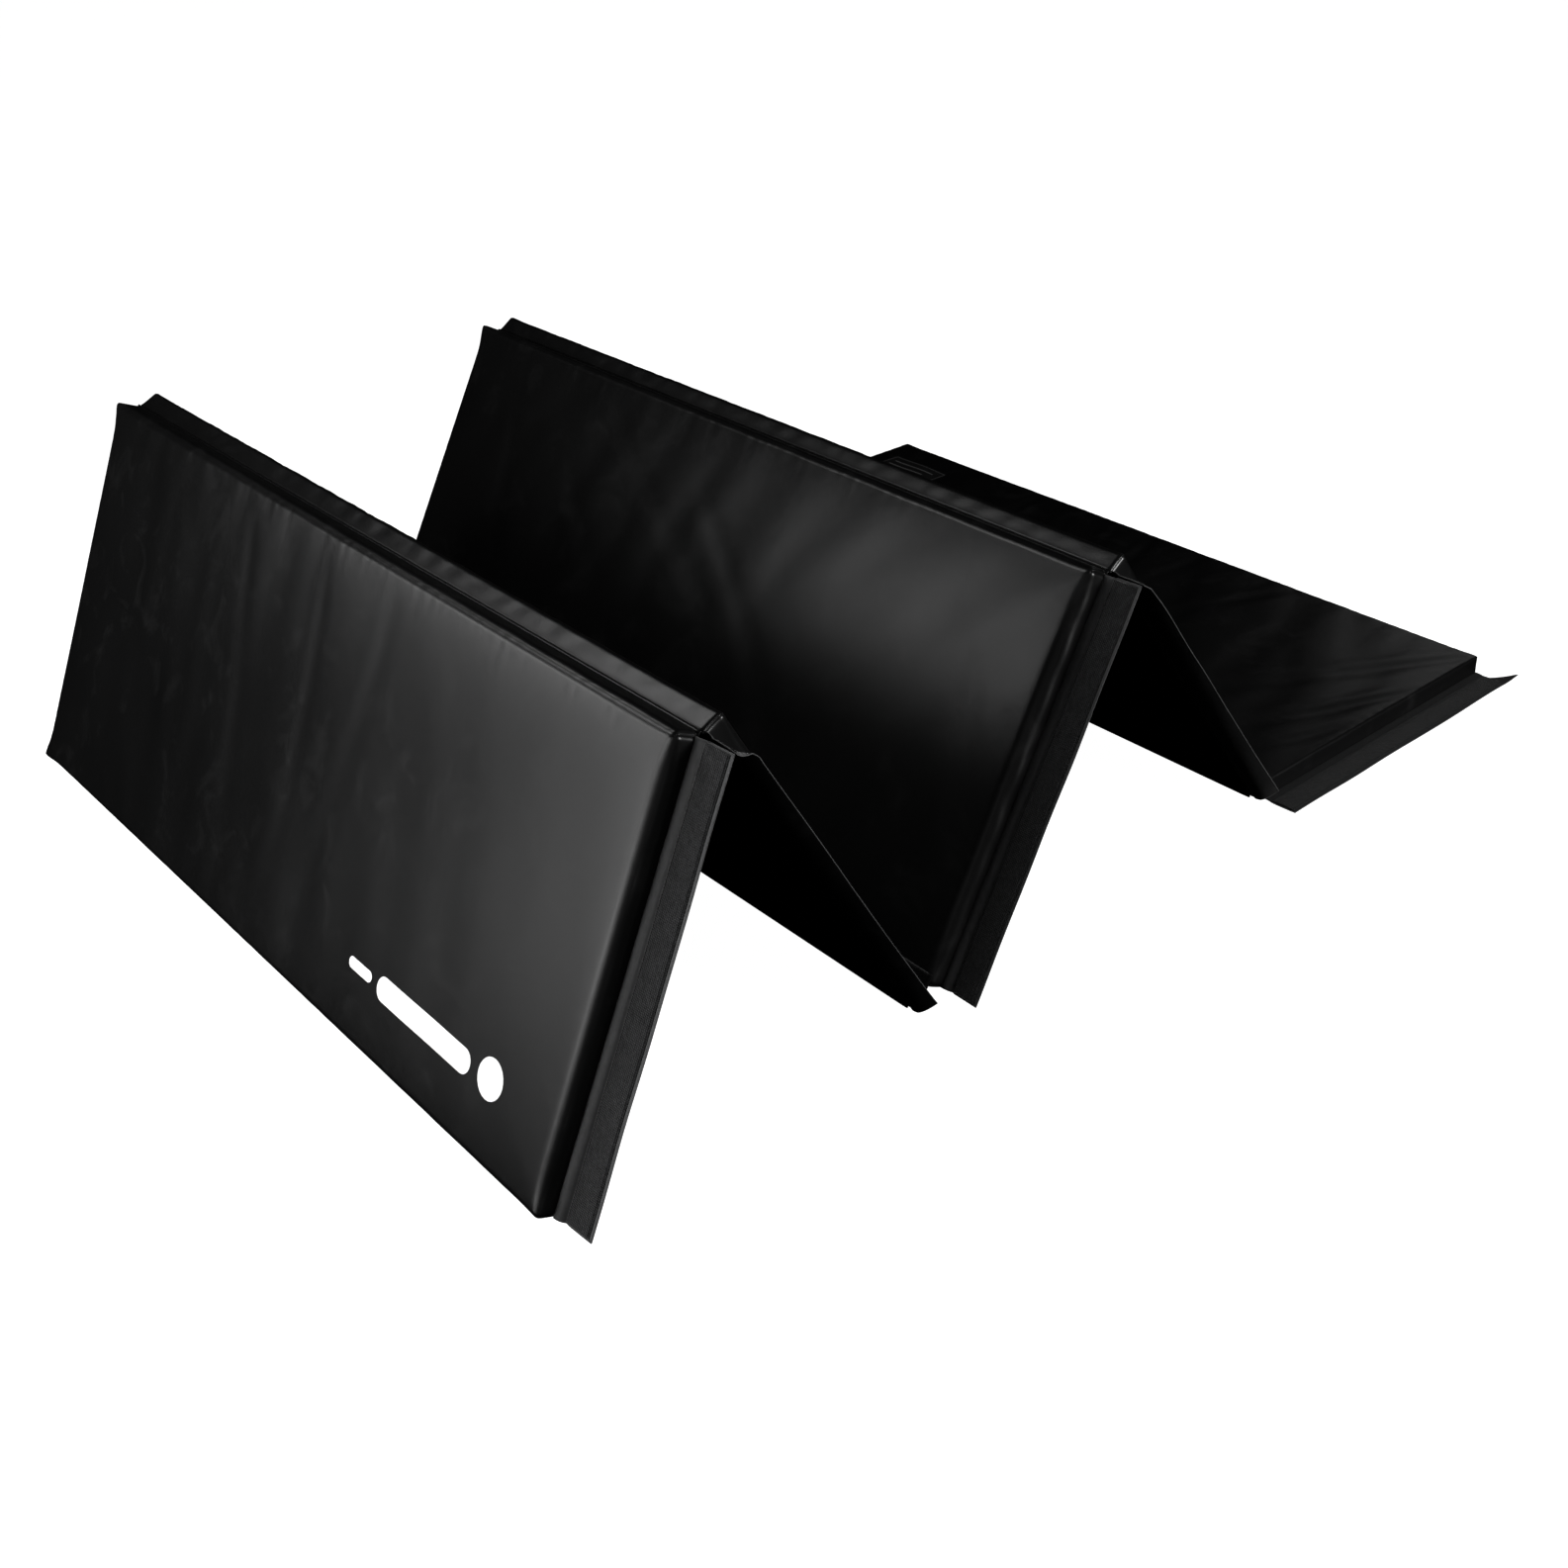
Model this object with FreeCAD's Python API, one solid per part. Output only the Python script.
import FreeCAD, Part
import math
import os

from FreeCAD import Vector

# A folding gym mat: five foam panels in vinyl covers, hinged to each other by fabric folds and
# standing in a zigzag. Millimetres, +Z up. X runs along the folds, Y along the unfolded mat.
# Each panel is drawn flat in its own frame and then placed. In that frame x runs along the
# folds, s across the panel towards panel 5, and n from the underside up to the exercise side.

# Panels. The fold pitch is the distance from one fold to the next on the unfolded mat, and
# each panel's edges are set back from its folds.
PANEL_COUNT = 5
FOLD_LENGTH = 1524.0
FOLD_PITCH = 609.6
FOLD_SET_BACK = 2.0
PANEL_WIDTH = FOLD_PITCH - 2 * FOLD_SET_BACK
THICKNESS = 34.9
VINYL = 0.8
EDGE_ROUND = 8.0
FOAM_CLEARANCE = 0.2

# Folds
FOLD_STRIP_THICKNESS = 1.5
FOLD_STRIP_ARM = 30.0

# The slopes, in degrees, of the two panels whose pitch is free. Panels 1 and 3 lean on the
# floor, and their slopes follow from that.
SLOPE_2 = 63.1
SLOPE_4 = 55.8

# Fastening flaps along the right-hand ends, with loop strips that face the exercise side
FLAP_REACH = 61.0
FLAP_THICKNESS = 1.2
FLAP_HINGE_OFFSET = 2.8
FLAP_HINGE_CLEARANCE = 0.3
FLAP_END_GAP = 3.0
FLAP_CORNER = 5.0
STRIP_THICKNESS = 1.5
STRIP_END_GAP = 6.0
LOOP_STRIP_SETBACK = 14.0
LOOP_STRIP_BORDER = 4.0

# Hook strips let into the underside along the left-hand ends, which the flaps of the next mat
# fasten to
HOOK_STRIP_WIDTH = 45.0
HOOK_STRIP_EDGE = 8.0

# The blank care label near the far left corner of panel 5
LABEL_LENGTH = 165.0
LABEL_WIDTH = 135.0
LABEL_THICKNESS = 0.3
LABEL_FROM_END = 45.0
LABEL_FROM_EDGE = 70.0

LEFT = -FOLD_LENGTH / 2
RIGHT = FOLD_LENGTH / 2


class PanelFrame:
    """Where one panel stands: the world place of its own origin, and its slope in degrees."""

    def __init__(self, slope, y=0.0, z=0.0):
        self.slope = slope
        self.y = y
        self.z = z

    def along(self, s, n):
        """The Y and Z distances from the panel's origin to a point of the panel."""
        turn = math.radians(self.slope)
        return (
            s * math.cos(turn) - n * math.sin(turn),
            s * math.sin(turn) + n * math.cos(turn),
        )

    def point(self, s, n, x=0.0):
        dy, dz = self.along(s, n)
        return Vector(x, self.y + dy, self.z + dz)

    def move_to(self, s, n, target):
        """Shift the panel so that its point (s, n) lies on the target point."""
        dy, dz = self.along(s, n)
        self.y = target.y - dy
        self.z = target.z - dz

    def place(self, shape):
        placed = shape.copy()
        placed.Placement = FreeCAD.Placement(
            Vector(0, self.y, self.z), FreeCAD.Rotation(Vector(1, 0, 0), self.slope)
        )
        return placed


def is_ridge(fold):
    """Fold n joins panels n and n + 1. Odd folds are ridges, hinged on the underside."""
    return fold % 2 == 1


def fold_face(fold):
    """The height in a panel of the face that the fold strip is sewn to."""
    return 0.0 if is_ridge(fold) else THICKNESS


def fold_axis_height(fold):
    """The height in a panel of the fold's axis, one strip thickness outside the face."""
    outward = -1 if is_ridge(fold) else 1
    return fold_face(fold) + outward * FOLD_STRIP_THICKNESS


def slope_that_reaches_floor(height):
    """The slope of a panel that hangs from a ridge axis at a height and stands on its edge."""
    reach = PANEL_WIDTH + FOLD_SET_BACK
    radius = math.hypot(reach, FOLD_STRIP_THICKNESS)
    return math.degrees(
        math.asin(height / radius) + math.atan2(FOLD_STRIP_THICKNESS, reach)
    )


def stand_panels():
    """The frames of the standing panels and the axis of each fold, from panel 5 to panel 1."""
    frames = {PANEL_COUNT: PanelFrame(0.0)}
    axes = {}
    free_slopes = {2: -SLOPE_2, 4: -SLOPE_4}
    for number in range(PANEL_COUNT - 1, 0, -1):
        height = fold_axis_height(number)
        axes[number] = frames[number + 1].point(-FOLD_SET_BACK, height)
        slope = free_slopes.get(number)
        if slope is None:
            slope = slope_that_reaches_floor(axes[number].z)
        frames[number] = PanelFrame(slope)
        frames[number].move_to(PANEL_WIDTH + FOLD_SET_BACK, height, axes[number])
    return frames, axes


def plate(x0, x1, s0, s1, n0, n1):
    return Part.makeBox(x1 - x0, s1 - s0, n1 - n0, Vector(x0, s0, n0))


def is_upright(edge):
    """Does a straight edge run along n?"""
    ends = [vertex.Point for vertex in edge.Vertexes]
    return abs(ends[0].z - ends[1].z) > abs(ends[0].x - ends[1].x) + abs(
        ends[0].y - ends[1].y
    )


def round_uprights(shape, radius):
    return shape.makeFillet(radius, [edge for edge in shape.Edges if is_upright(edge)])


def padded_block(inset, bottom, top, radius):
    """A block with rounded upright edges and a rounded edge all round its top face."""
    block = plate(
        LEFT + inset, RIGHT - inset, inset, PANEL_WIDTH - inset, bottom, top
    )
    rounded = [
        edge
        for edge in block.Edges
        if is_upright(edge) or all(abs(v.Point.z - top) < 1e-6 for v in edge.Vertexes)
    ]
    return block.makeFillet(radius, rounded)


def foam_core():
    inset = VINYL + FOAM_CLEARANCE
    return padded_block(inset, VINYL, THICKNESS - inset, EDGE_ROUND - inset)


def cover():
    """The top sheet and walls, sewn as one open-bottomed tray over the foam."""
    outside = padded_block(0.0, VINYL, THICKNESS, EDGE_ROUND)
    inside = padded_block(VINYL, 0.0, THICKNESS - VINYL, EDGE_ROUND - VINYL)
    return outside.cut(inside)


def hook_strip():
    return plate(
        LEFT + HOOK_STRIP_EDGE,
        LEFT + HOOK_STRIP_EDGE + HOOK_STRIP_WIDTH,
        STRIP_END_GAP + FOLD_STRIP_ARM,
        PANEL_WIDTH - STRIP_END_GAP - FOLD_STRIP_ARM,
        0.0,
        VINYL / 2,
    )


def base_sheet():
    """The underside sheet, with the seam allowance that the flap hangs from at the right."""
    seam_end = RIGHT + FLAP_HINGE_OFFSET - FLAP_THICKNESS / 2 - FLAP_HINGE_CLEARANCE
    sheet = round_uprights(
        plate(LEFT, RIGHT, 0.0, PANEL_WIDTH, 0.0, VINYL), EDGE_ROUND
    )
    seam = plate(
        RIGHT - EDGE_ROUND, seam_end, EDGE_ROUND, PANEL_WIDTH - EDGE_ROUND, 0.0, VINYL
    )
    return sheet.fuse(seam).removeSplitter().cut(hook_strip())


def end_flap():
    """The flap sheet, with a round inner edge so that it turns about its own seam."""
    hinge_x = RIGHT + FLAP_HINGE_OFFSET
    first, last = FLAP_END_GAP, PANEL_WIDTH - FLAP_END_GAP
    sheet = plate(hinge_x, RIGHT + FLAP_REACH, first, last, 0.0, FLAP_THICKNESS)
    outer_corners = [
        edge
        for edge in sheet.Edges
        if is_upright(edge) and edge.Vertexes[0].Point.x > hinge_x + 1
    ]
    sheet = sheet.makeFillet(FLAP_CORNER, outer_corners)
    roll = Part.makeCylinder(
        FLAP_THICKNESS / 2,
        last - first,
        Vector(hinge_x, first, FLAP_THICKNESS / 2),
        Vector(0, 1, 0),
    )
    return sheet.fuse(roll).removeSplitter()


def loop_strip():
    return plate(
        RIGHT + LOOP_STRIP_SETBACK,
        RIGHT + FLAP_REACH - LOOP_STRIP_BORDER,
        STRIP_END_GAP,
        PANEL_WIDTH - STRIP_END_GAP,
        FLAP_THICKNESS,
        FLAP_THICKNESS + STRIP_THICKNESS,
    )


def care_label():
    return plate(
        LEFT + LABEL_FROM_END,
        LEFT + LABEL_FROM_END + LABEL_LENGTH,
        PANEL_WIDTH - LABEL_FROM_EDGE - LABEL_WIDTH,
        PANEL_WIDTH - LABEL_FROM_EDGE,
        THICKNESS,
        THICKNESS + LABEL_THICKNESS,
    )


def fold_strip(near, far, fold, axis):
    """The fabric that joins two panels, bent about the fold's axis.

    Its arms lie on the two faces, and its outer surface passes through the axis.
    """
    face = fold_face(fold)
    outer = fold_axis_height(fold)
    bend = math.radians(abs(far.slope - near.slope))
    overrun = FOLD_STRIP_THICKNESS * math.tan(bend / 2)
    outline = [
        near.point(PANEL_WIDTH - FOLD_STRIP_ARM, face, LEFT),
        near.point(PANEL_WIDTH + FOLD_SET_BACK + overrun, face, LEFT),
        far.point(FOLD_STRIP_ARM, face, LEFT),
        far.point(FOLD_STRIP_ARM, outer, LEFT),
        Vector(LEFT, axis.y, axis.z),
        near.point(PANEL_WIDTH - FOLD_STRIP_ARM, outer, LEFT),
    ]
    profile = Part.Face(Part.makePolygon(outline + outline[:1]))
    return profile.extrude(Vector(FOLD_LENGTH, 0, 0))


def build_nodes():
    frames, axes = stand_panels()
    sheets = {
        "foam_core": foam_core(),
        "cover": cover(),
        "base_sheet": base_sheet(),
        "hook_strip": hook_strip(),
        "end_flap": end_flap(),
        "loop_strip": loop_strip(),
    }
    nodes = {}
    for number, frame in frames.items():
        for name, shape in sheets.items():
            nodes[f"{name}_{number}"] = frame.place(shape)
    for fold, axis in axes.items():
        strip = fold_strip(frames[fold], frames[fold + 1], fold, axis)
        nodes[f"fold_strip_{fold}_{fold + 1}"] = strip
    nodes["care_label"] = frames[PANEL_COUNT].place(care_label())
    return nodes, axes


def middle_of_footprint(shapes):
    box = FreeCAD.BoundBox()
    for shape in shapes:
        box.add(shape.optimalBoundingBox(False, False))
    return Vector(-(box.XMin + box.XMax) / 2, -(box.YMin + box.YMax) / 2, 0)


NODES, FOLD_AXES = build_nodes()
TO_ORIGIN = middle_of_footprint(NODES.values())

os.makedirs("parts", exist_ok=True)
for name, shape in NODES.items():
    shape.translate(TO_ORIGIN)
    if not shape.isValid() or len(shape.Solids) != 1:
        raise ValueError(f"{name} is not one valid solid")
    shape.exportStep(f"parts/{name}.step")
